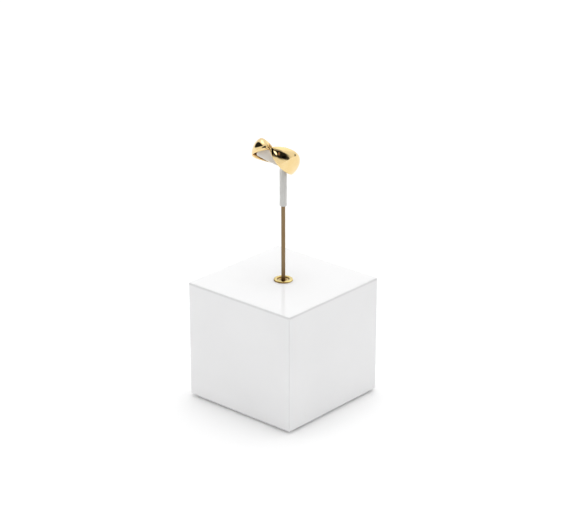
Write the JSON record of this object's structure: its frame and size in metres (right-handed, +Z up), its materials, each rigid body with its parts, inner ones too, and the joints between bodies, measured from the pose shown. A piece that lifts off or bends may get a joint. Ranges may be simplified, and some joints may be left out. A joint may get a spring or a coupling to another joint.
{
  "type": "jewelry stand",
  "caption": "Square white block with a slim upright brass rod, and a grey clip on its top that displays a gold finger ring.",
  "frame": {"origin": "on the surface that the stand rests on, under the middle of the block", "axes": "+Z up along the rod, X and Y along the block's sides; the clip's leaf leans towards -X and -Y"},
  "size_m": [0.0544, 0.0544, 0.1106],
  "materials": {
    "white_lacquer": "white gloss lacquer over wood",
    "grey_felt": "thin pressed felt",
    "polished_brass": "polished, yellow gold tone",
    "satin_brass": "satin, slightly aged",
    "grey_polymer": "matte, moulded",
    "polished_gold": "mirror polish, yellow gold tone"
  },
  "bodies": {
    "root": {"block": "white_lacquer", "base_pad": "grey_felt", "ferrule": "polished_brass"},
    "rod": {"rod": "satin_brass"},
    "clip": {"clip_sleeve": "grey_polymer", "clip_leaf": "grey_polymer"},
    "ring": {"ring": "polished_gold"}
  },
  "joints": [
    {"name": "rod_turn", "type": "hinge", "parent": "root", "child": "rod", "pos_m": [0, 0, 0.0509], "axis": [0, 0, 1], "continuous": true},
    {"name": "clip_lift", "type": "slide", "parent": "rod", "child": "clip", "axis": [0, 0, 1], "range_m": [0, 0.017]},
    {"name": "ring_off", "type": "slide", "parent": "clip", "child": "ring", "axis": [0.6505, 0.0116, 0.7594], "range_m": [0, 0.012]}
  ]
}
